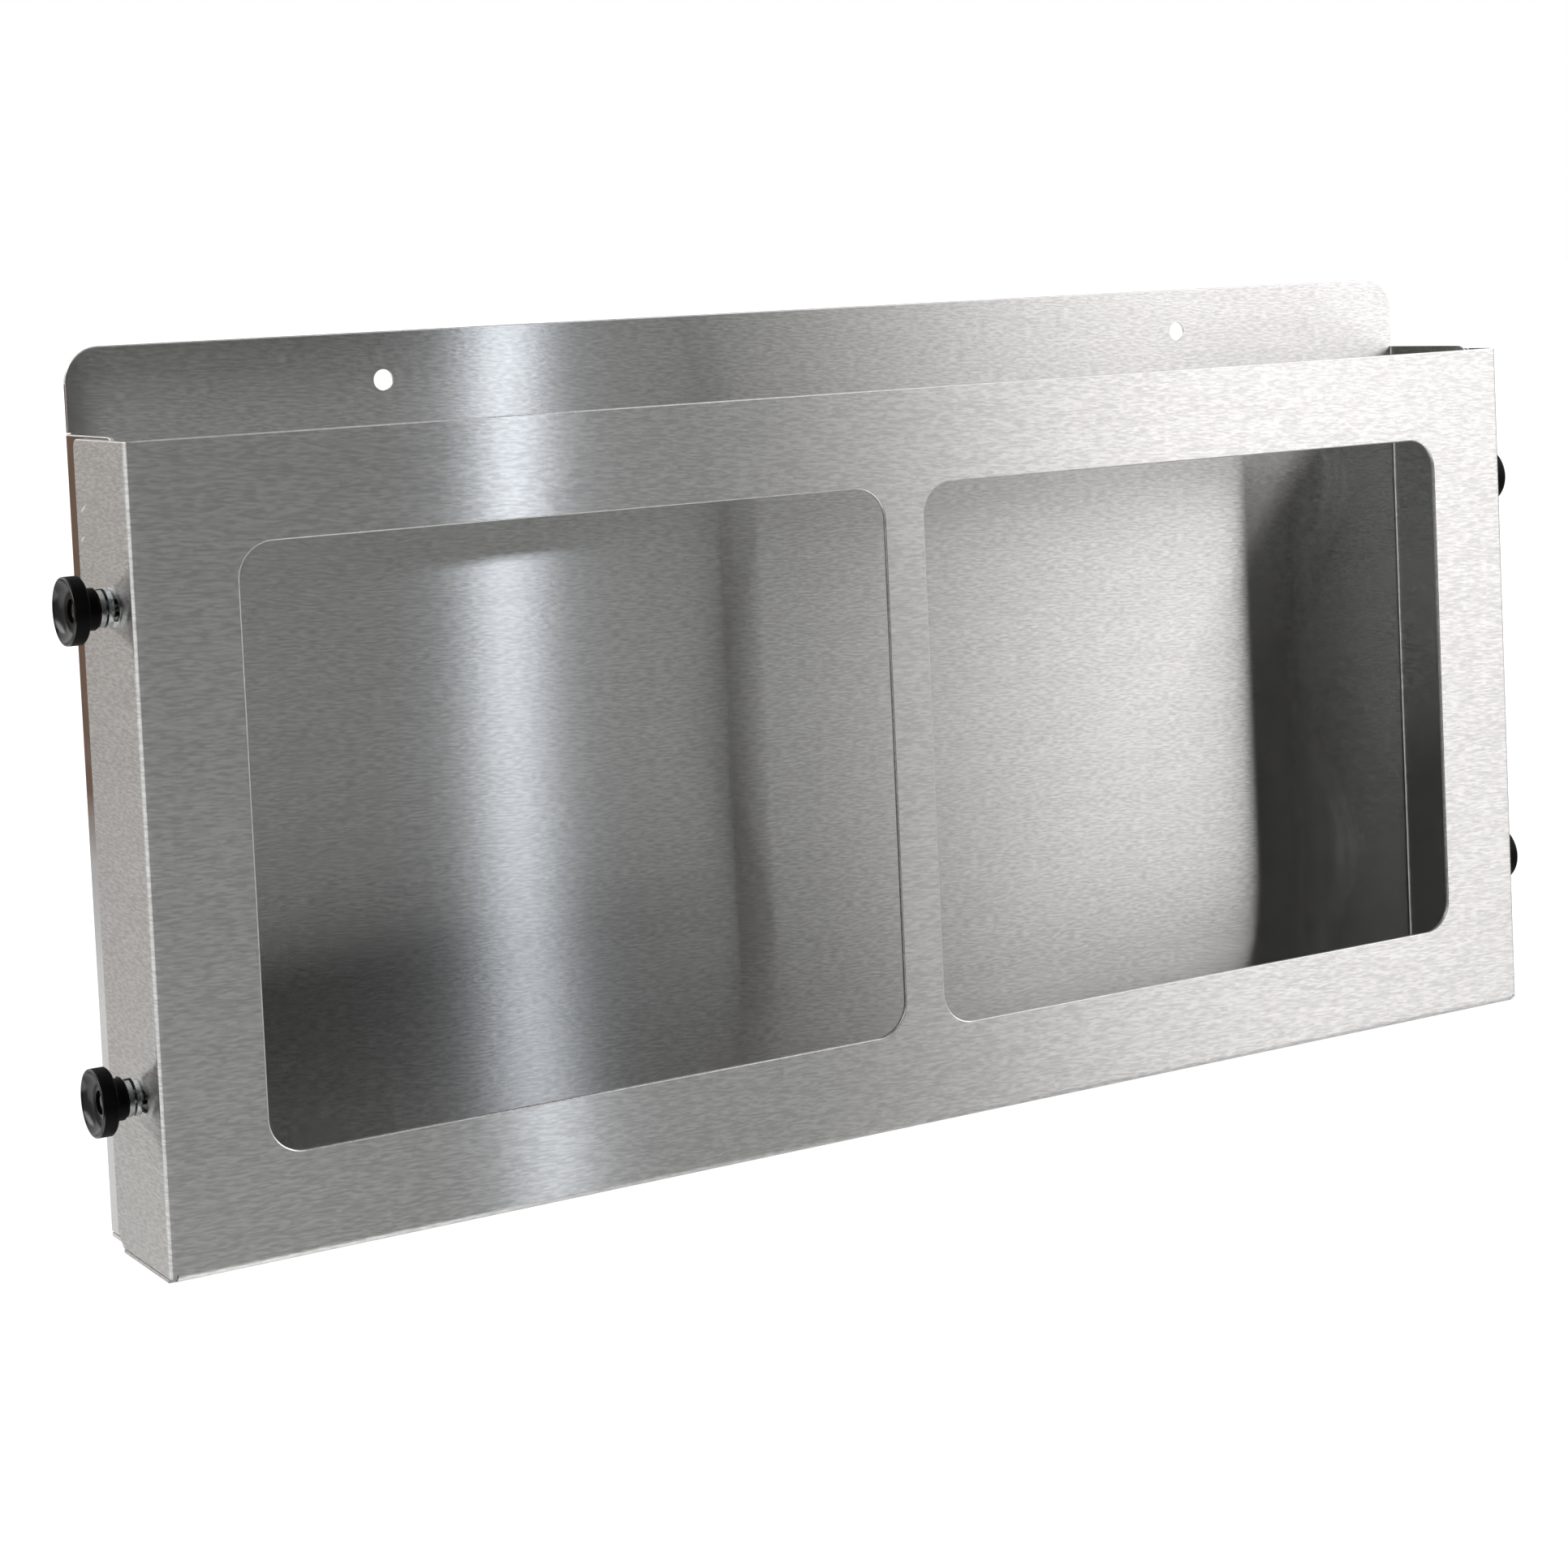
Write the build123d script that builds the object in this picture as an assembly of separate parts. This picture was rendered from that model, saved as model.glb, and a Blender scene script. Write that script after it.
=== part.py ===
from build123d import *
import os

# Wall-hung holder for boxes of disposable gloves, in millimetres. +Z is up, the front faces -Y and
# the wall is on the +Y side. The origin is level with the cover's underside, in the middle of the
# width and the depth.

# Sheet metal
sheet = 1.2
bend_inner = 0.8
relief_gap = 0.4
flange_lift = 0.2
edge_round = 0.4

# Front cover: a plate with two windows, folded back at both sides and at the bottom
cover_width = 550.0
cover_height = 254.0
depth = 58.0
cover_bottom_depth = 41.0
window_side_margin = 34.0
window_bottom_margin = 33.0
window_top_margin = 33.0
window_bar = 16.0
window_radius = 11.5
cover_corner_radius = 3.0
cover_corner_chamfer = 4.5

# Back tray: a plate against the wall, folded forwards at both sides and at the bottom
side_clearance = 0.3
bottom_clearance = 0.3
tray_rise = 1.0
tray_depth = 45.0
tray_corner_radius = 6.0
extension_height = 27.0
extension_inset = 0.7
extension_radius = 11.5
wall_hole_diameter = 7.0
wall_hole_spacing = 330.0
wall_hole_margin = 16.0

# Clamp studs: where they stand in the tray, and how far the cover's slots let it slide over them
stud_front_margin = 9.0
stud_inset = 51.75
slot_height = 7.0
slide_in = 7.1
slide_out = 15.9
slot_rear_margin = 4.6
hang_clearance = 0.15

# Stud, washer and spring washer, for an M6 thread
stud_diameter = 6.0
stud_reach = 16.0
stud_tip_chamfer = 0.7
stud_head_diameter = 8.5
stud_head_length = 3.0
washer_diameter = 12.0
washer_bore = 6.4
washer_thickness = 1.6
spring_diameter = 11.8
spring_bore = 6.2
spring_thickness = 1.6
spring_rise = 0.9
spring_turn = 345.0
face_gap = 0.05

# Knob: a round neck and a dished disc, moulded round the head of its stud
neck_diameter = 13.0
neck_length = 4.5
neck_edge_chamfer = 0.5
disc_diameter = 21.1
disc_thickness = 5.3
disc_front_radius = 0.6
disc_back_chamfer = 0.6
rim_width = 0.7
dish_depth = 2.6
dish_sagitta = 0.9
dish_floor_diameter = 9.6
recess_diameter = 7.4
recess_depth = 0.8
moulded_gap = 0.02

# Press nuts in the side flanges of the tray
nut_diameter = 11.0
nut_height = 4.1
nut_edge_chamfer = 0.5
nut_shank_diameter = 8.75
nut_shank_recess = 0.15
nut_hole_clearance = 0.05
thread_clearance = 0.05

# Places worked out from the sizes above
bend_outer = bend_inner + sheet
wall_y = depth / 2
front_y = -depth / 2
tray_width = cover_width - 2 * (sheet + side_clearance)
tray_bottom_z = sheet + bottom_clearance
tray_top_z = cover_height + tray_rise
tray_height = tray_top_z - tray_bottom_z
stud_y = wall_y - tray_depth + stud_front_margin
stud_z = {"upper": tray_top_z - stud_inset, "lower": tray_bottom_z + stud_inset}
slot_length = slide_in + slide_out + slot_height
slot_y = stud_y + (slide_out - slide_in) / 2
cover_side_depth = slot_y + slot_length / 2 + slot_rear_margin - front_y
slot_drop = (slot_height - stud_diameter) / 2 - hang_clearance
side_sign = {"left": -1, "right": 1}

# Heights along a stud, measured outwards from the outer face of the cover's side flange
washer_base = face_gap
spring_base = washer_base + washer_thickness + face_gap
neck_base = spring_base + spring_thickness + spring_rise + face_gap
disc_base = neck_base + neck_length
knob_top = disc_base + disc_thickness
dish_floor = knob_top - dish_depth
stud_top = dish_floor - recess_depth
stud_tip = neck_base - stud_reach
tray_face = -(sheet + side_clearance)


def block(low, high):
    """A box given by its lowest and highest corners."""
    size = [b - a for a, b in zip(low, high)]
    return Pos(*low) * Box(*size, align=(Align.MIN, Align.MIN, Align.MIN))


def both_sides(solid):
    """The solid together with its mirror image across the middle of the width."""
    return solid + mirror(solid, about=Plane.YZ)


def edges_along(axis, solid, **place):
    """The edges of a solid that run along an axis, with their middle at the given X, Y or Z."""
    tolerance = 0.01

    def is_there(edge):
        middle = edge.center()
        return all(abs(getattr(middle, letter) - value) < tolerance for letter, value in place.items())
    return solid.edges().filter_by(axis).filter_by(is_there)


def folded_pan(width, height, side_depth, bottom_depth):
    """One folded sheet: its plate's outer face is at y = 0 and its three flanges point to +Y.

    The plate and the side flanges are one U that stands on the bottom flange with a small lift. The
    bottom flange is as wide as the pan. A slit at each end of the bottom fold frees the side folds.
    """
    half = width / 2
    flat_half = half - bend_outer
    fold_half = flat_half - relief_gap
    side_bottom = sheet + flange_lift
    inner = half - sheet

    u_line = Wire([
        *FilletPolyline((-half, side_depth), (-half, 0), (half, 0), (half, side_depth), radius=bend_outer).edges(),
        Line((half, side_depth), (inner, side_depth)).edge(),
        *FilletPolyline(
            (inner, side_depth), (inner, sheet), (-inner, sheet), (-inner, side_depth), radius=bend_inner
        ).edges(),
        Line((-inner, side_depth), (-half, side_depth)).edge(),
    ])
    pan = Pos(0, 0, side_bottom) * extrude(Face(u_line), amount=height - side_bottom, dir=(0, 0, 1))
    pan -= block((-flat_half, -sheet, 0), (flat_half, bend_outer, bend_outer))

    fold_face = make_face([
        CenterArc((bend_outer, bend_outer), bend_outer, 180, 90),
        Line((bend_outer, 0), (bend_outer, sheet)),
        CenterArc((bend_outer, bend_outer), bend_inner, 180, 90),
        Line((sheet, bend_outer), (0, bend_outer)),
    ])
    pan += extrude(Plane.YZ * fold_face, amount=fold_half, both=True)
    pan += block((-half, bend_outer, 0), (half, bottom_depth, sheet))
    pan -= both_sides(block((fold_half, -sheet, 0), (flat_half, bend_outer, bend_outer + relief_gap)))
    return pan


def window(centre_x):
    """The cutter of one window: a rounded rectangle through the front plate."""
    width = cover_width / 2 - window_side_margin - window_bar / 2
    height = cover_height - window_bottom_margin - window_top_margin
    centre_z = window_bottom_margin + height / 2
    outline = Pos(centre_x, centre_z) * RectangleRounded(width, height, window_radius)
    return Pos(0, front_y + sheet, 0) * extrude(Plane.XZ * outline, amount=2 * sheet)


def slot(level):
    """The cutter of one level's slots, through both side flanges of the cover."""
    outline = Pos(slot_y, stud_z[level] - slot_drop) * SlotOverall(slot_length, slot_height)
    return extrude(Plane.YZ * outline, amount=cover_width, both=True)


def make_cover():
    """Front cover: one sheet with two windows, and two slots in each side flange."""
    pan = folded_pan(cover_width, cover_height, cover_side_depth, cover_bottom_depth)
    pan = fillet(edges_along(Axis.X, pan, Y=cover_side_depth, Z=cover_height), cover_corner_radius)
    pan = chamfer(edges_along(Axis.X, pan, Y=cover_side_depth, Z=sheet + flange_lift), cover_corner_chamfer)
    pan = fillet(edges_along(Axis.X, pan, Y=0, Z=cover_height), edge_round)
    cover = Pos(0, front_y, 0) * pan
    window_x = window_bar / 2 + (cover_width / 2 - window_side_margin - window_bar / 2) / 2
    for centre_x in (-window_x, window_x):
        cover -= window(centre_x)
    front_face = cover.faces().filter_by(Axis.Y).sort_by(Axis.Y)[0]
    cover = fillet([edge for wire in front_face.inner_wires() for edge in wire.edges()], edge_round)
    for level in stud_z:
        cover -= slot(level)
    return cover


def raised_wall_plate():
    """The wall plate above the side flanges: rounded top corners, and a gap over each side fold."""
    half = tray_width / 2 - extension_inset
    flat_half = tray_width / 2 - bend_outer
    height = extension_height - relief_gap
    outline = Pos(0, tray_height + relief_gap + height / 2) * Rectangle(2 * half, height)
    outline = fillet(outline.vertices().group_by(Axis.Y)[-1], extension_radius)
    plate = extrude(Plane.XZ * outline, amount=-sheet)
    plate = fillet(edges_along(Axis.X, plate, Y=sheet, Z=tray_height + extension_height), edge_round)
    return plate + block((-flat_half, 0, tray_height - bend_outer), (flat_half, sheet, tray_height + relief_gap))


def make_tray():
    """Back tray: one sheet with a raised wall plate, two wall holes and four holes for press nuts."""
    pan = folded_pan(tray_width, tray_height, tray_depth, tray_depth)
    for z in (tray_height, sheet + flange_lift):
        pan = fillet(edges_along(Axis.X, pan, Y=tray_depth, Z=z), tray_corner_radius)
    pan = fillet(edges_along(Axis.X, pan, Y=0, Z=tray_height), edge_round)
    pan += raised_wall_plate()
    tray = Pos(0, wall_y, tray_bottom_z) * Rot(0, 0, 180) * pan
    wall_hole_z = tray_top_z + extension_height - wall_hole_margin
    wall_hole = Rot(90, 0, 0) * Cylinder(wall_hole_diameter / 2, 4 * sheet)
    for x in (-wall_hole_spacing / 2, wall_hole_spacing / 2):
        tray -= Pos(x, wall_y, wall_hole_z) * wall_hole
    nut_hole = Rot(0, 90, 0) * Cylinder(nut_shank_diameter / 2 + nut_hole_clearance, 2 * cover_width)
    for z in stud_z.values():
        tray -= Pos(0, stud_y, z) * nut_hole
    return tray


def ring(outer_diameter, bore, base, thickness):
    """A flat ring along Z, from base up."""
    body = Cylinder(outer_diameter / 2, thickness) - Cylinder(bore / 2, 2 * thickness)
    return Pos(0, 0, base + thickness / 2) * body


def make_plain_washer():
    """Flat washer against the cover."""
    return ring(washer_diameter, washer_bore, washer_base, washer_thickness)


def make_spring_washer():
    """Split lock washer: a rectangular bar wound along one helical turn that doesn't quite close."""
    bar_width = (spring_diameter - spring_bore) / 2
    mean_radius = (spring_diameter + spring_bore) / 4
    path = Helix(pitch=spring_rise * 360 / spring_turn, height=spring_rise, radius=mean_radius)
    start = Plane(origin=path @ 0, x_dir=(1, 0, 0), z_dir=path % 0)
    bar = sweep(start * Rectangle(bar_width, spring_thickness), path=path, is_frenet=True)
    return Pos(0, 0, spring_base + spring_thickness / 2) * bar


def make_press_nut():
    """Round press nut: a body behind the tray's flange and a shank in the flange's hole, bored through."""
    back = tray_face - sheet
    body = Pos(0, 0, back - nut_height / 2) * Cylinder(nut_diameter / 2, nut_height)
    body = chamfer(body.edges().group_by(Axis.Z)[0], nut_edge_chamfer)
    shank_length = sheet - nut_shank_recess
    shank = Pos(0, 0, back + shank_length / 2) * Cylinder(nut_shank_diameter / 2, shank_length)
    bore = Pos(0, 0, back) * Cylinder(stud_diameter / 2 + thread_clearance, 4 * nut_height)
    return body + shank - bore


def stud_outline(growth):
    """Half section of the stud's moulded head and shank, grown sideways for the knob's cavity."""
    shank = stud_diameter / 2 + growth
    head = stud_head_diameter / 2 + growth
    head_top = neck_base + (disc_base - neck_base + stud_head_length) / 2 + growth
    head_bottom = head_top - stud_head_length - 2 * growth
    return shank, head, head_bottom, head_top


def make_stud():
    """Steel stud: a plain M6 shank with a chamfered tip and a collar held in the knob's neck."""
    shank, head, head_bottom, head_top = stud_outline(0)
    profile = Polyline(
        (0, stud_tip), (shank - stud_tip_chamfer, stud_tip), (shank, stud_tip + stud_tip_chamfer),
        (shank, head_bottom), (head, head_bottom), (head, head_top), (shank, head_top),
        (shank, stud_top - stud_tip_chamfer), (shank - stud_tip_chamfer, stud_top), (0, stud_top),
        close=True,
    )
    return revolve(Plane.XZ * make_face(profile), axis=Axis.Z)


def make_knob():
    """Plastic knob: a neck and a dished disc, with a cavity for the stud and a recess in the dish."""
    neck = neck_diameter / 2
    disc = disc_diameter / 2
    shank, head, head_bottom, head_top = stud_outline(moulded_gap)
    rim = disc - rim_width
    floor = dish_floor_diameter / 2
    recess = recess_diameter / 2
    outline = make_face([
        Polyline((neck - neck_edge_chamfer, neck_base), (shank, neck_base), (shank, head_bottom)),
        Polyline((shank, head_bottom), (head, head_bottom), (head, head_top), (shank, head_top)),
        Polyline((shank, head_top), (shank, stud_top), (recess, stud_top), (recess, dish_floor)),
        Line((recess, dish_floor), (floor, dish_floor)),
        SagittaArc((floor, dish_floor), (rim, knob_top), -dish_sagitta),
        Line((rim, knob_top), (disc - disc_front_radius, knob_top)),
        CenterArc((disc - disc_front_radius, knob_top - disc_front_radius), disc_front_radius, 0, 90),
        Line((disc, knob_top - disc_front_radius), (disc, disc_base + disc_back_chamfer)),
        Polyline((disc, disc_base + disc_back_chamfer), (disc - disc_back_chamfer, disc_base), (neck, disc_base)),
        Polyline((neck, disc_base), (neck, neck_base + neck_edge_chamfer), (neck - neck_edge_chamfer, neck_base)),
    ])
    return revolve(Plane.XZ * outline, axis=Axis.Z)


def clamp_place(side, level):
    """Where a clamp's own +Z axis points outwards from the outer face of the cover's side flange."""
    sign = side_sign[side]
    return Pos(sign * cover_width / 2, stud_y, stud_z[level]) * Rot(0, sign * 90, 0)


nodes = {"front_cover": make_cover(), "back_tray": make_tray()}
clamp_pieces = {
    "knob": make_knob(),
    "stud": make_stud(),
    "plain_washer": make_plain_washer(),
    "spring_washer": make_spring_washer(),
    "press_nut": make_press_nut(),
}
for side in side_sign:
    for level in stud_z:
        for piece, solid in clamp_pieces.items():
            nodes[f"{side}_{level}_{piece}"] = clamp_place(side, level) * solid

os.makedirs("parts", exist_ok=True)
for name, solid in nodes.items():
    solid.label = name
    export_step(solid, f"parts/{name}.step")
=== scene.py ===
import math

import bpy
import numpy as np
from mathutils import Matrix, Vector


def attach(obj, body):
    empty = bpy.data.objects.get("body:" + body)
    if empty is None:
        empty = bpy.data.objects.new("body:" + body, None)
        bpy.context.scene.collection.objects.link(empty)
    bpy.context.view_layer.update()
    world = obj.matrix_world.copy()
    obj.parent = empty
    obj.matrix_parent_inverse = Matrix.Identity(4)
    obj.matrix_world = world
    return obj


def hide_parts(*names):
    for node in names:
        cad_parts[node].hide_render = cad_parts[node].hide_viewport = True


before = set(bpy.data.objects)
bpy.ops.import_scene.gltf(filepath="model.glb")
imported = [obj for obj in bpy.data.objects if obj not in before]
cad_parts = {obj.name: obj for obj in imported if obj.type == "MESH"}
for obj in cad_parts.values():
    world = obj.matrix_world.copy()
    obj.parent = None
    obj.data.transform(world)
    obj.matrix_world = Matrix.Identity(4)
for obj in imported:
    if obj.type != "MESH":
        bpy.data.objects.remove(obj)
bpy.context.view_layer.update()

# Wall-hung glove dispenser of brushed stainless sheet, in metres. The front faces -Y and the wall is on
# the +Y side. Its four clamps stand on the side flanges: left at -X and right at +X, one above the other.

MM = 0.001
SIDES = {"left": -1.0, "right": 1.0}
LEVELS = ("upper", "lower")
CORNERS = [(side, level) for side in SIDES for level in LEVELS]

# Sizes of the holder in mm. A stud's heights count outwards from the outer face of the cover's side
# flange, as the clamp stands at rest.
SHEET = 1.2
BEND = 2.0
COVER_FRONT = -29.0
COVER_SIDE = 275.0
COVER_BOTTOM = 0.0
TRAY_BACK = 29.0
TRAY_SIDE = 273.5
TRAY_BOTTOM = 1.5
KNOB_FACE = 286.0     # outwards of this, the knob's faces that look outwards are its polished dish and rim
STUD_Y = -7.0
STUD_Z = {"upper": 203.25, "lower": 53.25}
STUD_RADIUS = 3.0
STUD_TIP = -11.75
STUD_TOP = 10.65
STUD_CHAMFER = 0.7
THREAD_PITCH = 1.0
THREAD_DEPTH = 0.55
THREAD_END = 4.2      # the thread runs out over the last turn before this height
HEAD_RADIUS = 4.25
HEAD_FROM = 5.0
HEAD_TO = 8.0


# Colour and node helpers

def linear(hex_colour):
    """The linear colour of an sRGB hex value such as #a0b1c2, with alpha 1."""
    channels = [int(hex_colour[i:i + 2], 16) / 255.0 for i in (1, 3, 5)]
    curve = [c / 12.92 if c <= 0.04045 else ((c + 0.055) / 1.055) ** 2.4 for c in channels]
    return curve + [1.0]


def add_node(tree, kind, settings=None, links=None):
    """Adds one node. settings are its properties or, by socket name or number, its unlinked values;
    links joins a socket name or number to an output of another node."""
    node = tree.nodes.new(kind)
    sockets = {}
    for key, value in (settings or {}).items():
        if isinstance(key, str) and hasattr(node, key):
            setattr(node, key, value)
        else:
            sockets[key] = value
    for key, value in sockets.items():
        node.inputs[key].default_value = value
    for key, output in (links or {}).items():
        tree.links.new(output, node.inputs[key])
    return node


def new_material(name):
    """An empty node material and its tree."""
    material = bpy.data.materials.new(name)
    material.use_nodes = True
    material.node_tree.nodes.clear()
    return material, material.node_tree


def end_with(tree, shader):
    """Joins the last shader to the material's output."""
    add_node(tree, "ShaderNodeOutputMaterial", links={"Surface": shader.outputs["BSDF"]})


NOISE_LOW, NOISE_HIGH = 0.36, 0.64   # where most of a noise's values lie


def drawn_noise(tree, sizes, detail=2.0, shift=0.0, turn=0.0):
    """Noise on the piece's own coordinates, turned about Y. sizes is a patch's length along X, Y and Z."""
    place = add_node(tree, "ShaderNodeTexCoord").outputs["Object"]
    turned = add_node(tree, "ShaderNodeVectorRotate", {
        "rotation_type": "Y_AXIS",
        "Angle": turn,
    }, {"Vector": place})
    scaled = add_node(tree, "ShaderNodeMapping", {
        "Location": (shift, shift, shift),
        "Scale": tuple(1.0 / size for size in sizes),
    }, {"Vector": turned.outputs["Vector"]})
    noise = add_node(tree, "ShaderNodeTexNoise", {
        "Scale": 1.0,
        "Detail": detail,
        "Roughness": 0.55,
    }, {"Vector": scaled.outputs["Vector"]})
    return noise.outputs["Fac"]


def between(tree, noise, low, high):
    """Turns a noise into numbers, or colours, from low to high."""
    if isinstance(low, float):
        numbers = add_node(tree, "ShaderNodeMapRange", {
            "From Min": NOISE_LOW,
            "From Max": NOISE_HIGH,
            "To Min": low,
            "To Max": high,
        }, {"Value": noise})
        return numbers.outputs["Result"]
    colours = add_node(tree, "ShaderNodeMapRange", {
        "data_type": "FLOAT_VECTOR",
        7: (NOISE_LOW,) * 3,
        8: (NOISE_HIGH,) * 3,
        9: tuple(low[:3]),
        10: tuple(high[:3]),
    }, {6: noise})
    return colours.outputs["Vector"]


def relief_of(tree, height, depth):
    """The normal of a surface whose height goes up and down by depth."""
    settings = {"Strength": 1.0, "Distance": depth}
    return add_node(tree, "ShaderNodeBump", settings, {"Height": height}).outputs["Normal"]


# Stainless sheet. The mill rolls it smooth and grey, and a belt then brushes one side of it along its
# length. That leaves fine level scratches: reflections stay fairly sharp from side to side and smear far
# up and down. The cover shows its brushed side outside, and the tray shows it inside.

GRAIN_SLOPE = math.radians(-3.1)   # the belt ran three degrees off level, down towards +X
GRAIN_ROUGHNESS = 0.2152
GRAIN_ANISOTROPY = -0.8597
FLANGE_LEAN = 0.02                 # gives level faces, which have no up and down, their grain along X
# The deeper single scratches catch the light one by one. Real ones are about 0.1 mm wide, and these are
# drawn six times as coarse to show.
SPARK_SIZES = (3.4 * MM, 3.4 * MM, 0.6 * MM)
SPARK_DEPTH = 0.006 * MM
SPARK_CONTRAST = 0.125
# The patches where the belt pressed harder
CLOUD_SIZES = (60.0 * MM, 60.0 * MM, 7.0 * MM)
CLOUD_CONTRAST = 0.018
# Two short scratches on the left flange, each with its y, its z and its half length. The scratches are real
# wear, and their lightness is a painted highlight
HANDLING_MARKS = (
    (10.6 * MM, 232.6 * MM, 3.4 * MM),
    (12.6 * MM, 223.2 * MM, 2.8 * MM),
)
HANDLING_SLOPE = math.radians(-25.4)
HANDLING_HALF_WIDTH = 0.55 * MM
HANDLING_REACH = 2.0 * MM          # how far off the flange's face a mark still shows
# the painted highlight, added to the steel's colour in the middle of each scratch
HANDLING_BRIGHTNESS = 0.45


def with_marks(tree, shade, marks):
    """Paints a highlight into the steel's colour inside narrow ellipses on the left flange, over the real
    scratches, most in their middles.
    """
    place = add_node(tree, "ShaderNodeTexCoord").outputs["Object"]
    for y, z, half_length in marks:
        along = add_node(tree, "ShaderNodeMapping", {
            "vector_type": "TEXTURE",
            "Location": (-COVER_SIDE * MM, y, z),
            "Rotation": (HANDLING_SLOPE, 0.0, 0.0),
            "Scale": (HANDLING_REACH, half_length, HANDLING_HALF_WIDTH),
        }, {"Vector": place})
        away = add_node(tree, "ShaderNodeVectorMath", {"operation": "LENGTH"}, {0: along.outputs["Vector"]})
        mark = add_node(tree, "ShaderNodeMapRange", {
            "From Min": 1.0,
            "From Max": 0.3,
            "To Min": 0.0,
            "To Max": HANDLING_BRIGHTNESS,
        }, {"Value": away.outputs["Value"]})
        shade = add_node(tree, "ShaderNodeVectorMath", {"operation": "ADD"}, {
            0: shade,
            1: mark.outputs["Result"],
        }).outputs["Vector"]
    return shade


def brushed_stainless(name, colour, shift, marks=()):
    """Belt-brushed stainless steel with its grain nearly level on every upright face. The scratches
    are too fine to show one by one: they smear what the steel mirrors, about fifty times as far up and
    down as from side to side."""
    material, tree = new_material(name)
    bright = np.array(linear(colour)[:3])
    spark = drawn_noise(tree, SPARK_SIZES, 2.0, shift, GRAIN_SLOPE)
    scratched = between(tree, spark, bright * (1.0 - SPARK_CONTRAST), bright * (1.0 + SPARK_CONTRAST))
    cloud = drawn_noise(tree, CLOUD_SIZES, 3.0, shift + 5.0, GRAIN_SLOPE)
    pressed = between(tree, cloud, np.full(3, 1.0 - CLOUD_CONTRAST), np.full(3, 1.0 + CLOUD_CONTRAST))
    shade = add_node(tree, "ShaderNodeVectorMath", {"operation": "MULTIPLY"}, {0: scratched, 1: pressed})
    across_grain = add_node(tree, "ShaderNodeCombineXYZ", {
        "X": -math.sin(GRAIN_SLOPE),
        "Y": FLANGE_LEAN,
        "Z": math.cos(GRAIN_SLOPE),
    })
    shader = add_node(tree, "ShaderNodeBsdfAnisotropic", {
        "distribution": "GGX",
        "Roughness": GRAIN_ROUGHNESS,
        "Anisotropy": GRAIN_ANISOTROPY,
    }, {
        # the colour carries the painted highlight of the two scratches on the left flange
        "Color": with_marks(tree, shade.outputs["Vector"], marks),
        "Normal": relief_of(tree, spark, SPARK_DEPTH),
        "Tangent": across_grain.outputs["Vector"],
    })
    end_with(tree, shader)
    return material


def mill_stainless(name, dark, light, shift):
    """The unbrushed side of the sheet, cold-rolled and pickled: an even, slightly milky mirror with faint
    lines from the rollers."""
    material, tree = new_material(name)
    cloud = drawn_noise(tree, (22.0 * MM, 22.0 * MM, 9.0 * MM), 3.0, shift)
    lines = drawn_noise(tree, (40.0 * MM, 0.8 * MM, 0.8 * MM), 2.0, shift)
    shader = add_node(tree, "ShaderNodeBsdfPrincipled", {"Metallic": 1.0}, {
        "Base Color": between(tree, lines, linear(dark), linear(light)),
        "Roughness": between(tree, cloud, 0.08, 0.16),
    })
    end_with(tree, shader)
    return material


def cut_stainless(name, dark, light):
    """The sheet's laser-cut edge: fine ridges side by side through the thickness, which flicker light and
    dark along the edge. Real ridges are about 0.1 mm apart, drawn at 0.4 mm to show."""
    material, tree = new_material(name)
    ridges = drawn_noise(tree, (0.4 * MM, 3.0 * MM, 0.4 * MM), 2.0)
    shader = add_node(tree, "ShaderNodeBsdfPrincipled", {"Metallic": 1.0}, {
        "Base Color": between(tree, ridges, linear(dark), linear(light)),
        "Roughness": between(tree, ridges, 0.32, 0.48),
        "Normal": relief_of(tree, ridges, 0.02 * MM),
    })
    end_with(tree, shader)
    return material


def zinc_plated(name, dark, light, smooth, shift):
    """Steel with a bright zinc coat, bluish and a little cloudy, over the tool's marks."""
    material, tree = new_material(name)
    cloud = drawn_noise(tree, (1.6 * MM,) * 3, 3.0, shift)
    grain = drawn_noise(tree, (0.3 * MM,) * 3, 2.0, shift)
    shader = add_node(tree, "ShaderNodeBsdfPrincipled", {"Metallic": 1.0}, {
        "Base Color": between(tree, cloud, linear(dark), linear(light)),
        "Roughness": between(tree, cloud, smooth, smooth + 0.12),
        "Normal": relief_of(tree, grain, 0.006 * MM),
    })
    end_with(tree, shader)
    return material


def turned_stainless(name, dark, light):
    """A nut turned on a lathe: fine rings round its axis, 0.3 mm apart, that break up the reflections."""
    material, tree = new_material(name)
    rings = drawn_noise(tree, (0.3 * MM, 6.0 * MM, 6.0 * MM), 2.0)
    shader = add_node(tree, "ShaderNodeBsdfPrincipled", {"Metallic": 1.0}, {
        "Base Color": between(tree, rings, linear(dark), linear(light)),
        "Roughness": between(tree, rings, 0.2, 0.34),
        "Normal": relief_of(tree, rings, 0.01 * MM),
    })
    end_with(tree, shader)
    return material


def moulded_plastic(name, dark, light, smooth, gloss, grain_depth):
    """Black phenolic, pressed in a mould. Its sides keep the mould's fine 0.3 mm spark grain, which
    swallows the light, and its polished dish shines."""
    material, tree = new_material(name)
    grain = drawn_noise(tree, (0.3 * MM,) * 3, 2.0)
    cloud = drawn_noise(tree, (4.0 * MM,) * 3, 2.0, 2.0)
    shader = add_node(tree, "ShaderNodeBsdfPrincipled", {"IOR": 1.5, "Specular IOR Level": gloss}, {
        "Base Color": between(tree, cloud, linear(dark), linear(light)),
        "Roughness": between(tree, cloud, smooth, smooth + 0.08),
        "Normal": relief_of(tree, grain, grain_depth),
    })
    end_with(tree, shader)
    return material


# The holder's nodes, sorted face by face

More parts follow.
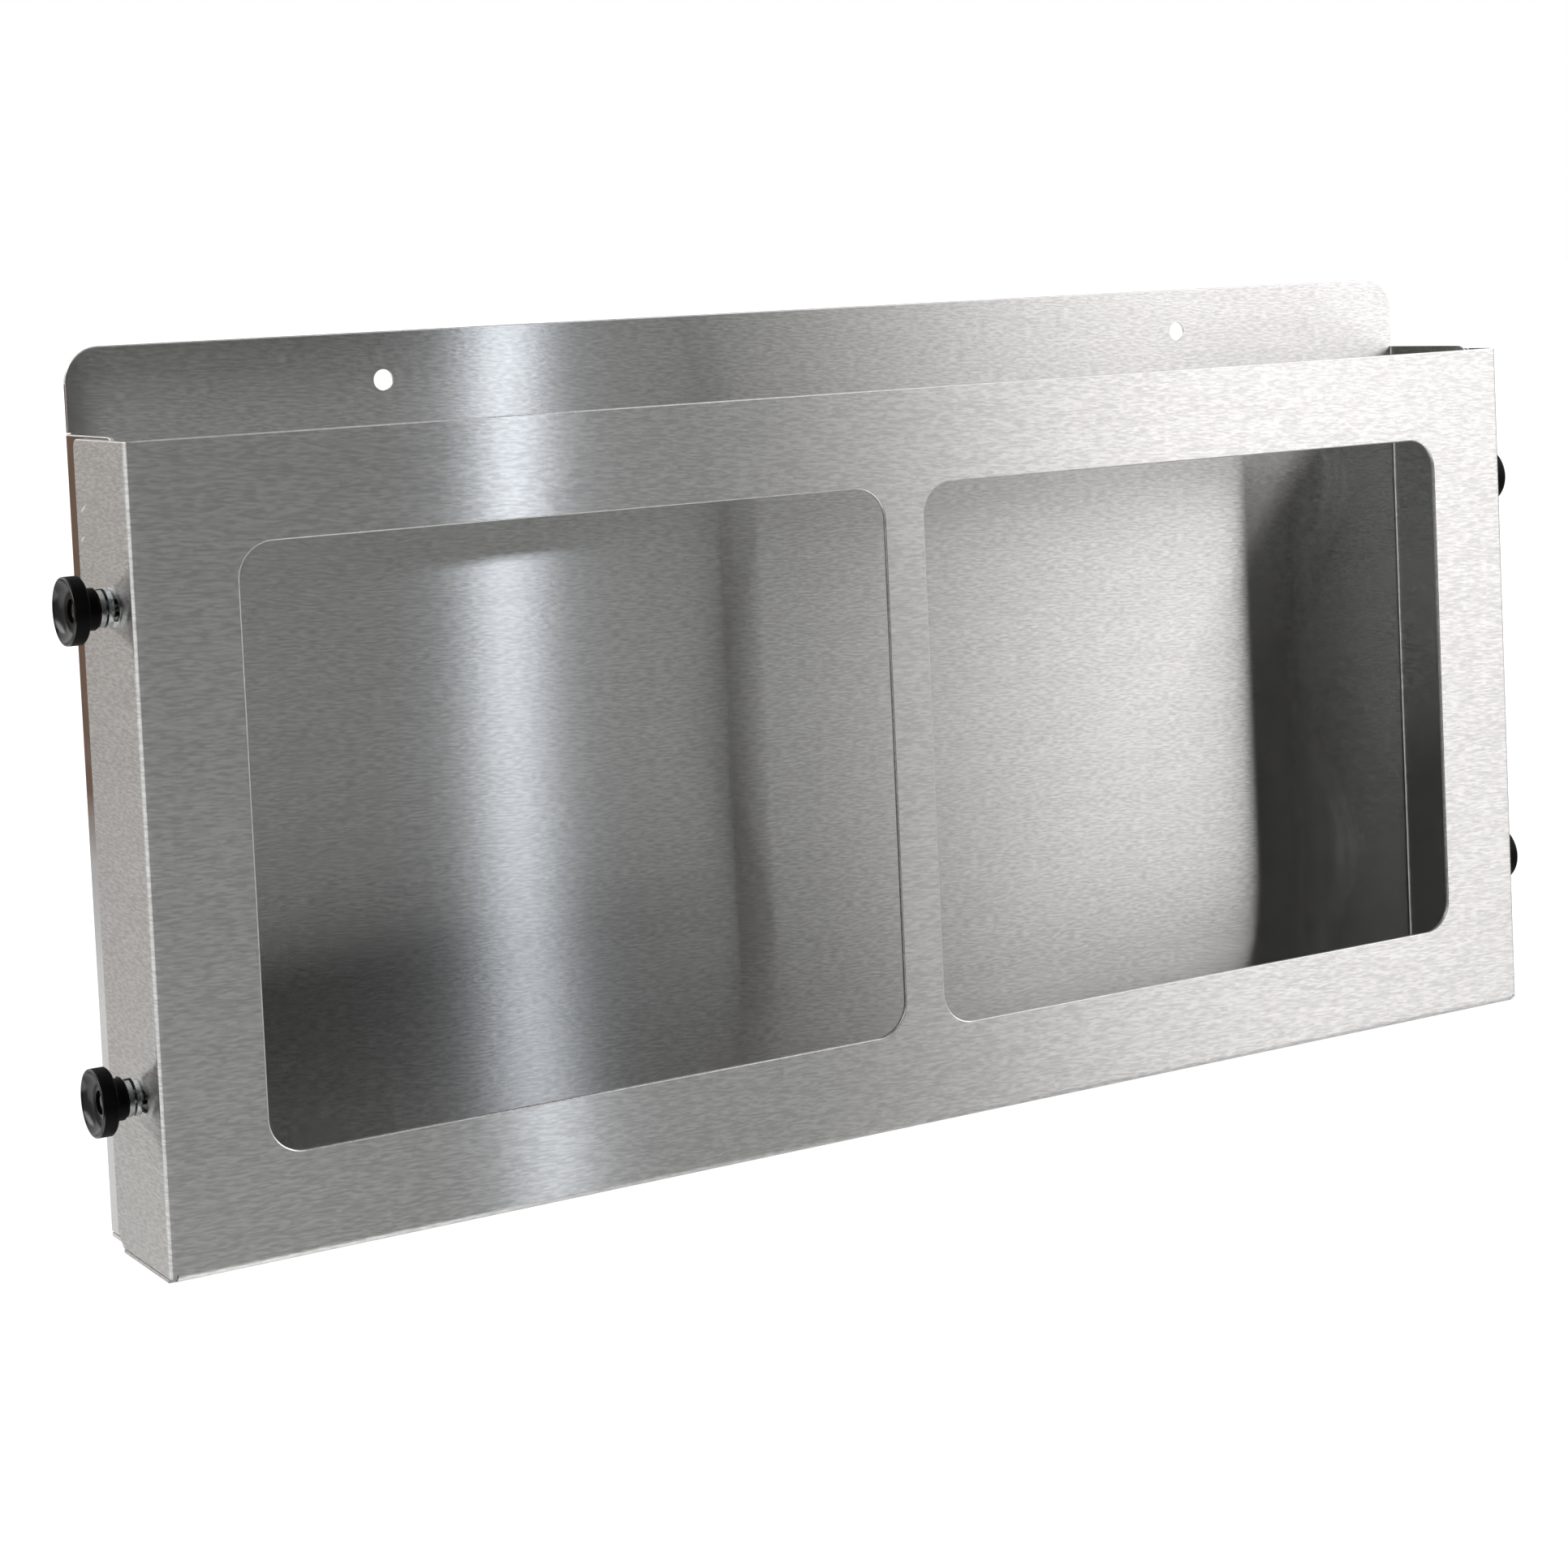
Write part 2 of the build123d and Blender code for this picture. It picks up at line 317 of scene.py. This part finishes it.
OUTER, INNER, CUT = 0, 1, 2
SIDE, DISH = 0, 1
NEAR = 0.05           # the slack of a face's place, in mm
SQUARE_ON = 0.999     # a normal's part along an axis where the face is square to it
LEVEL_WITH = 0.001    # and where the face lies along that axis
DISH_TILT = 0.02      # the least outward part of a normal in the knob's dish


def dress(node, *materials, faces=None):
    """Gives a CAD node its materials. faces holds each face's material number, and without it all are 0."""
    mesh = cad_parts[node].data
    mesh.materials.clear()
    for material in materials:
        mesh.materials.append(material)
    if faces is None:
        faces = np.zeros(len(mesh.polygons))
    mesh.polygons.foreach_set("material_index", faces.astype(np.int32))
    mesh.update()


def face_places(node):
    """The middle of each face in mm and its normal, as six arrays."""
    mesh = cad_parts[node].data
    centre = np.empty(len(mesh.polygons) * 3)
    normal = np.empty(len(mesh.polygons) * 3)
    mesh.polygons.foreach_get("center", centre)
    mesh.polygons.foreach_get("normal", normal)
    return (*(centre.reshape(-1, 3).T / MM), *normal.reshape(-1, 3).T)


def sheet_faces(node, front, back, side, bottom):
    """Sorts a folded pan's faces into the sheet's outer side, its inner side and its cut edges. A face lies
    on the sheet's own side where its normal turns only about the fold that it is near: about no fold on a
    flat, about Z at the side folds and about X at the bottom fold."""
    x, y, z, nx, ny, nz = face_places(node)
    between_faces = (y > min(front, back) - NEAR) & (y < max(front, back) + NEAR)
    plate = between_faces & (np.abs(ny) > SQUARE_ON)
    flange = (np.abs(x) > side - SHEET - NEAR) & (np.abs(nx) > SQUARE_ON)
    floor = (z < bottom + SHEET + NEAR) & (np.abs(nz) > SQUARE_ON)
    near_plate = np.abs(y - front) < BEND + NEAR
    side_fold = near_plate & (np.abs(x) > side - BEND - NEAR) & (np.abs(nz) < LEVEL_WITH)
    bottom_fold = near_plate & (z < bottom + BEND + NEAR) & (np.abs(nx) < LEVEL_WITH)
    sideways = nx * np.sign(x) * (np.abs(x) > side - BEND)
    outward = sideways + ny * np.sign(front) * near_plate - nz * (z < bottom + BEND)
    on_sheet = plate | flange | floor | side_fold | bottom_fold
    return np.where(on_sheet, np.where(outward > 0.0, OUTER, INNER), CUT)


def knob_faces(node, outward):
    """Sorts a knob's faces into its moulded sides and its polished dish with the rim."""
    x, y, z, nx, ny, nz = face_places(node)
    return np.where((nx * outward > DISH_TILT) & (x * outward > KNOB_FACE), DISH, SIDE)


# Threaded studs: the solids are plain rods, and these have the rolled M6 thread.

ROWS_PER_PITCH = 10
STUD_TURNS = 48
CREST_FROM, CREST_SPAN = 0.14, 0.66   # the triangle wave's flat root and the height of its flank
SHARP_ANGLE = math.radians(35.0)


def threaded_stud(side, level, material):
    """A round bar with a right-hand thread. At height s and turn t the radius is the bar's, less the
    thread's depth where the triangle wave of s / pitch - t / 2 pi is low, with flat crests and roots, and
    never more than the tip's chamfer allows. The head's rows follow, and both ends close in a pole."""
    outward = SIDES[side]
    count = int((HEAD_FROM - STUD_TIP) / THREAD_PITCH * ROWS_PER_PITCH) + 1
    s = np.linspace(STUD_TIP, HEAD_FROM, count)[:, None]
    t = np.linspace(0.0, 2.0 * math.pi, STUD_TURNS, endpoint=False)[None, :]
    wave = np.abs(2.0 * np.mod(s / THREAD_PITCH - t / (2.0 * math.pi), 1.0) - 1.0)
    crest = np.clip((wave - CREST_FROM) / CREST_SPAN, 0.0, 1.0)
    fade = np.clip((THREAD_END - s) / THREAD_PITCH, 0.0, 1.0)
    chamfer = STUD_RADIUS - STUD_CHAMFER + (s - STUD_TIP)
    shank = np.minimum(STUD_RADIUS - THREAD_DEPTH * fade * (1.0 - crest), chamfer)
    head = np.array([
        (HEAD_FROM, HEAD_RADIUS), (HEAD_TO, HEAD_RADIUS), (HEAD_TO, STUD_RADIUS),
        (STUD_TOP - STUD_CHAMFER, STUD_RADIUS), (STUD_TOP, STUD_RADIUS - STUD_CHAMFER),
    ])
    height = np.vstack([s + 0.0 * t, head[:, :1] + 0.0 * t])
    radius = np.vstack([shank, head[:, 1:] + 0.0 * t])
    rows = len(height)
    first = radius * np.cos(t)
    second = radius * np.sin(t)
    y, z = (first, second) if outward > 0.0 else (second, first)
    around = np.stack([outward * (COVER_SIDE + height), STUD_Y + y, STUD_Z[level] + z], -1)
    ends = [(outward * (COVER_SIDE + end), STUD_Y, STUD_Z[level]) for end in (STUD_TIP, STUD_TOP)]
    points = np.vstack([around.reshape(-1, 3), ends]) * MM
    i, j = np.meshgrid(np.arange(rows - 1), np.arange(STUD_TURNS), indexing="ij")
    k = (j + 1) % STUD_TURNS
    here = i * STUD_TURNS
    above = here + STUD_TURNS
    quads = np.stack([here + j, here + k, above + k, above + j], -1).reshape(-1, 4)
    j = np.arange(STUD_TURNS)
    k = (j + 1) % STUD_TURNS
    last = (rows - 1) * STUD_TURNS
    tip_pole = np.full(STUD_TURNS, rows * STUD_TURNS)
    tip = np.stack([tip_pole, k, j], -1)
    top = np.stack([last + j, last + k, tip_pole + 1], -1)
    name = f"{side}_{level}_threaded_stud"
    mesh = bpy.data.meshes.new(name)
    mesh.from_pydata(points.tolist(), [], quads.tolist() + tip.tolist() + top.tolist())
    mesh.shade_smooth()
    mesh.set_sharp_from_angle(angle=SHARP_ANGLE)
    mesh.materials.append(material)
    stud = bpy.data.objects.new(name, mesh)
    bpy.context.scene.collection.objects.link(stud)
    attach(stud, f"{side}_{level}_knob_and_stud")
    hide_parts(f"{side}_{level}_stud")


cover_steel = brushed_stainless("brushed stainless cover sheet", "#c9c9c7", 0.0, HANDLING_MARKS)
tray_steel = brushed_stainless("brushed stainless tray sheet", "#c7c7c5", 3.7)
mill_steel = mill_stainless("cold-rolled stainless reverse side", "#bdbcba", "#c6c5c3", 1.3)
cut_steel = cut_stainless("laser-cut stainless edge", "#bcbcba", "#dededc")
washer_zinc = zinc_plated("bright zinc-plated washer steel", "#bcc0c4", "#d6d9da", 0.16, 0.0)
spring_zinc = zinc_plated("zinc-plated spring steel", "#9c9d9c", "#b9bab8", 0.26, 4.0)
stud_zinc = zinc_plated("zinc-plated rolled thread steel", "#b8bbbd", "#d0d3d4", 0.18, 8.0)
nut_steel = turned_stainless("turned stainless nut", "#b2b2b0", "#cccccb")
knob_sides = moulded_plastic("black moulded phenolic, grained", "#020202", "#040404", 0.5, 0.07, 0.02 * MM)
knob_dish = moulded_plastic("black moulded phenolic, polished", "#020202", "#040404", 0.17, 0.5, 0.002 * MM)

cover_faces = sheet_faces("front_cover", COVER_FRONT, COVER_FRONT + SHEET, COVER_SIDE, COVER_BOTTOM)
tray_faces = sheet_faces("back_tray", TRAY_BACK, TRAY_BACK - SHEET, TRAY_SIDE, TRAY_BOTTOM)
dress("front_cover", cover_steel, mill_steel, cut_steel, faces=cover_faces)
dress("back_tray", mill_steel, tray_steel, cut_steel, faces=tray_faces)
for side, level in CORNERS:
    corner = f"{side}_{level}"
    dress(f"{corner}_knob", knob_sides, knob_dish, faces=knob_faces(f"{corner}_knob", SIDES[side]))
    dress(f"{corner}_stud", stud_zinc)
    dress(f"{corner}_plain_washer", washer_zinc)
    dress(f"{corner}_spring_washer", spring_zinc)
    dress(f"{corner}_press_nut", nut_steel)
    threaded_stud(side, level, stud_zinc)


# Studio: what the bright metal mirrors. A level scratch mirrors a whole fan of directions that lean
# equally far sideways, so each panel is given by its lean towards +X and its rise above the horizon, both
# in degrees, and stands in front of the holder, behind it, or both.

DARK_ROOM = 0.025
HALF_BLUR = 0.03      # the room's two halves blend where a direction's Y is within this of 0
PANELS = {
    # name: (where, least lean, most lean, softness, lowest, highest, softness, colour, strength)
    "large window": ("front", 35.5, 90.0, 5.0, 8.0, 54.0, 4.0, "#fffcfe", 3.5),
    "bright room under it": ("front", 35.5, 90.0, 5.0, -90.0, 8.0, 4.0, "#fffcfe", 0.55),
    "middle of the room": ("front", 26.5, 90.0, 2.5, -90.0, 90.0, 1.0, "#ffffff", 0.24),
    "upper wall": ("front", -30.0, 90.0, 8.0, 8.0, 46.0, 4.0, "#ffffff", 0.12),
    "white table": ("front", -90.0, 27.0, 8.0, -90.0, -34.0, 6.0, "#ffffff", 2.1),
    "soft box left": ("both", -90.0, -44.0, 5.0, -45.0, 60.0, 8.0, "#ffffff", 0.45),
    "left lamp": ("both", -78.0, -44.0, 5.0, 26.0, 52.0, 6.0, "#ffffff", 5.0),
    "white paper": ("behind", -90.0, 90.0, 1.0, -90.0, -9.2, 0.5, "#ffffff", 0.62),
    "lit paper": ("behind", -90.0, 90.0, 1.0, -90.0, -11.0, 1.6, "#ffffff", 0.32),
    "wooden board": ("behind", -44.0, -5.0, 6.0, -9.2, 4.0, 0.5, "#7c6354", 1.0),
    "wall over it": ("behind", -44.0, -5.0, 6.0, 4.0, 60.0, 1.5, "#ffffff", 1.5),
    "pale wall": ("behind", -5.0, 90.0, 6.0, -9.2, 90.0, 0.5, "#ffffff", 0.55),
    "ceiling": ("both", -90.0, 90.0, 1.0, 62.0, 90.0, 8.0, "#ffffff", 0.25),
}


def world_surroundings():
    """Sums the panels over the dark room. Each is a soft step up and down over the lean, times the same
    over the rise, times its half of the room."""
    world = bpy.data.worlds.new("studio surroundings")
    bpy.context.scene.world = world
    world.use_nodes = True
    tree = world.node_tree
    tree.nodes.clear()
    place = add_node(tree, "ShaderNodeTexCoord")
    part = add_node(tree, "ShaderNodeSeparateXYZ", links={"Vector": place.outputs["Generated"]})

    def calculate(operation, a, b=None):
        links = {0: a} if b is None else {0: a, 1: b}
        return add_node(tree, "ShaderNodeMath", {"operation": operation}, links).outputs[0]

    def ramp(value, start, end):
        settings = {"interpolation_type": "SMOOTHSTEP", "From Min": start, "From Max": end}
        return add_node(tree, "ShaderNodeMapRange", settings, {"Value": value}).outputs["Result"]

    lean = calculate("DEGREES", calculate("ARCSINE", part.outputs["X"]))
    rise = calculate("DEGREES", calculate("ARCSINE", part.outputs["Z"]))
    halves = {
        "front": ramp(part.outputs["Y"], HALF_BLUR, -HALF_BLUR),
        "behind": ramp(part.outputs["Y"], -HALF_BLUR, HALF_BLUR),
    }
    dark = add_node(tree, "ShaderNodeCombineXYZ", {"X": DARK_ROOM, "Y": DARK_ROOM, "Z": DARK_ROOM})
    colour_sum = dark.outputs["Vector"]
    for where, least, most, edge, low, high, fade, colour, strength in PANELS.values():
        shares = [halves[where]] if where in halves else []
        if least > -90.0:
            shares.append(ramp(lean, least - edge, least + edge))
        if most < 90.0:
            shares.append(ramp(lean, most + edge, most - edge))
        if low > -90.0:
            shares.append(ramp(rise, low - fade, low + fade))
        if high < 90.0:
            shares.append(ramp(rise, high + fade, high - fade))
        share = shares[0]
        for other in shares[1:]:
            share = calculate("MULTIPLY", share, other)
        tint = [c * strength for c in linear(colour)[:3]]
        glow = add_node(tree, "ShaderNodeVectorMath", {"operation": "SCALE", 0: tint}, {"Scale": share})
        colour_sum = add_node(tree, "ShaderNodeVectorMath", {"operation": "ADD"}, {
            0: colour_sum,
            1: glow.outputs["Vector"],
        }).outputs["Vector"]
    studio = add_node(tree, "ShaderNodeBackground", {"Strength": 1.0}, {"Color": colour_sum})
    backdrop = add_node(tree, "ShaderNodeBackground", {"Color": linear("#ffffff"), "Strength": 1.0})
    path = add_node(tree, "ShaderNodeLightPath")
    seen = add_node(tree, "ShaderNodeMixShader", links={
        0: path.outputs["Is Camera Ray"],
        1: studio.outputs["Background"],
        2: backdrop.outputs["Background"],
    })
    add_node(tree, "ShaderNodeOutputWorld", links={"Surface": seen.outputs["Shader"]})


LAMP_TOWARDS = Vector((0.4505, -0.8485, 0.279))
LAMP_DISTANCE = 18.0
LAMP_WIDTH = math.radians(0.85)
LAMP_HEIGHT = math.radians(3.5)
LAMP_RADIANCE = 60.0


def far_lamp():
    """A far lamp in front, to the right and above, whose mirror image is the bright band on the steel. Its
    power is pi times its radiance times its area."""
    data = bpy.data.lights.new("far lamp", "AREA")
    data.shape = "RECTANGLE"
    data.size = LAMP_DISTANCE * LAMP_WIDTH
    data.size_y = LAMP_DISTANCE * LAMP_HEIGHT
    data.energy = LAMP_RADIANCE * math.pi * data.size * data.size_y
    data.color = linear("#edf4ff")[:3]
    lamp = bpy.data.objects.new("far lamp", data)
    lamp.location = LAMP_TOWARDS.normalized() * LAMP_DISTANCE
    lamp.rotation_euler = LAMP_TOWARDS.to_track_quat("Z", "Y").to_euler()
    bpy.context.scene.collection.objects.link(lamp)


world_surroundings()
far_lamp()


# Pale floor, a wide round sheet under the holder

FLOOR_RINGS = (0.0, 1.0, 4.0, 40.0)   # radii in metres
FLOOR_TURNS = 96
FLOOR_GLOW = 0.86


def make_floor():
    """A flat disc: x = r cos t and y = r sin t over rings of growing r, at z = 0."""
    rings = np.array(FLOOR_RINGS)
    turns = np.linspace(0.0, 2.0 * math.pi, FLOOR_TURNS, endpoint=False)
    r, t = np.meshgrid(rings, turns, indexing="ij")
    points = np.stack([r * np.cos(t), r * np.sin(t), 0.0 * r], -1).reshape(-1, 3)
    count = len(turns)
    i, j = np.meshgrid(np.arange(len(rings) - 1), np.arange(count), indexing="ij")
    k = (j + 1) % count
    inner = i * count
    outer = inner + count
    faces = np.stack([inner + j, outer + j, outer + k, inner + k], -1).reshape(-1, 4)
    mesh = bpy.data.meshes.new("floor")
    mesh.from_pydata(points.tolist(), [], faces.tolist())
    mesh.validate()
    floor = bpy.data.objects.new("floor", mesh)
    bpy.context.scene.collection.objects.link(floor)
    material, tree = new_material("white studio paper")
    shader = add_node(tree, "ShaderNodeBsdfPrincipled", {
        "Base Color": linear("#a0a0a0"),
        "Roughness": 0.9,
        "Specular IOR Level": 0.0,
        "Emission Color": linear("#ffffff"),
        "Emission Strength": FLOOR_GLOW,
    })
    end_with(tree, shader)
    mesh.materials.append(material)
    floor.visible_glossy = False


make_floor()


# Camera: where the photograph was taken from. The turn is a rotation vector, applied to a camera that
# looks along +Y. The place, in mm, is where that camera sees the middle of the wall face's foot, taken at
# the floor's level.

PHOTO_SIZE = 1932.0
FOCAL_PIXELS = 3937.6     # the lens, in the photograph's pixels
LENS_CENTRE = 560.0       # how far down the frame the lens's axis meets it, also in pixels
TURN = (0.04312, -0.54441, -0.05947)
FOOT_SEEN = (20.595, 229.499, 1151.895)
SENSOR = 36.0             # mm
NEAREST = 0.05            # metres
FARTHEST = 100.0


def photograph_camera():
    """Turns the seen place of the wall's foot into Blender's camera matrix and lens. The turn is the
    identity, plus the angle's sine times the cross matrix of its axis, plus one less the cosine times that
    matrix squared. The camera stands at the foot's place less its seen place, turned back."""
    angle = math.sqrt(sum(c * c for c in TURN))
    k = np.array(TURN) / angle
    cross = np.array([[0.0, -k[2], k[1]], [k[2], 0.0, -k[0]], [-k[1], k[0], 0.0]])
    turned = np.eye(3) + math.sin(angle) * cross + (1.0 - math.cos(angle)) * cross @ cross
    level = np.array([[1.0, 0.0, 0.0], [0.0, 0.0, -1.0], [0.0, 1.0, 0.0]])
    rotation = turned @ level
    place = -rotation.T @ np.array(FOOT_SEEN) + np.array([0.0, TRAY_BACK, 0.0])
    data = bpy.data.cameras.new("photograph camera")
    data.sensor_fit = "HORIZONTAL"
    data.sensor_width = SENSOR
    data.lens = FOCAL_PIXELS / PHOTO_SIZE * SENSOR
    data.shift_y = (LENS_CENTRE - PHOTO_SIZE / 2.0) / PHOTO_SIZE
    data.clip_start = NEAREST
    data.clip_end = FARTHEST
    camera = bpy.data.objects.new("photograph camera", data)
    bpy.context.scene.collection.objects.link(camera)
    matrix = Matrix.Identity(4)
    for row in range(3):
        matrix[row][0] = rotation[0][row]
        matrix[row][1] = -rotation[1][row]
        matrix[row][2] = -rotation[2][row]
        matrix[row][3] = place[row] * MM
    camera.matrix_world = matrix
    bpy.context.scene.camera = camera


photograph_camera()
bpy.context.scene.view_settings.view_transform = "Standard"
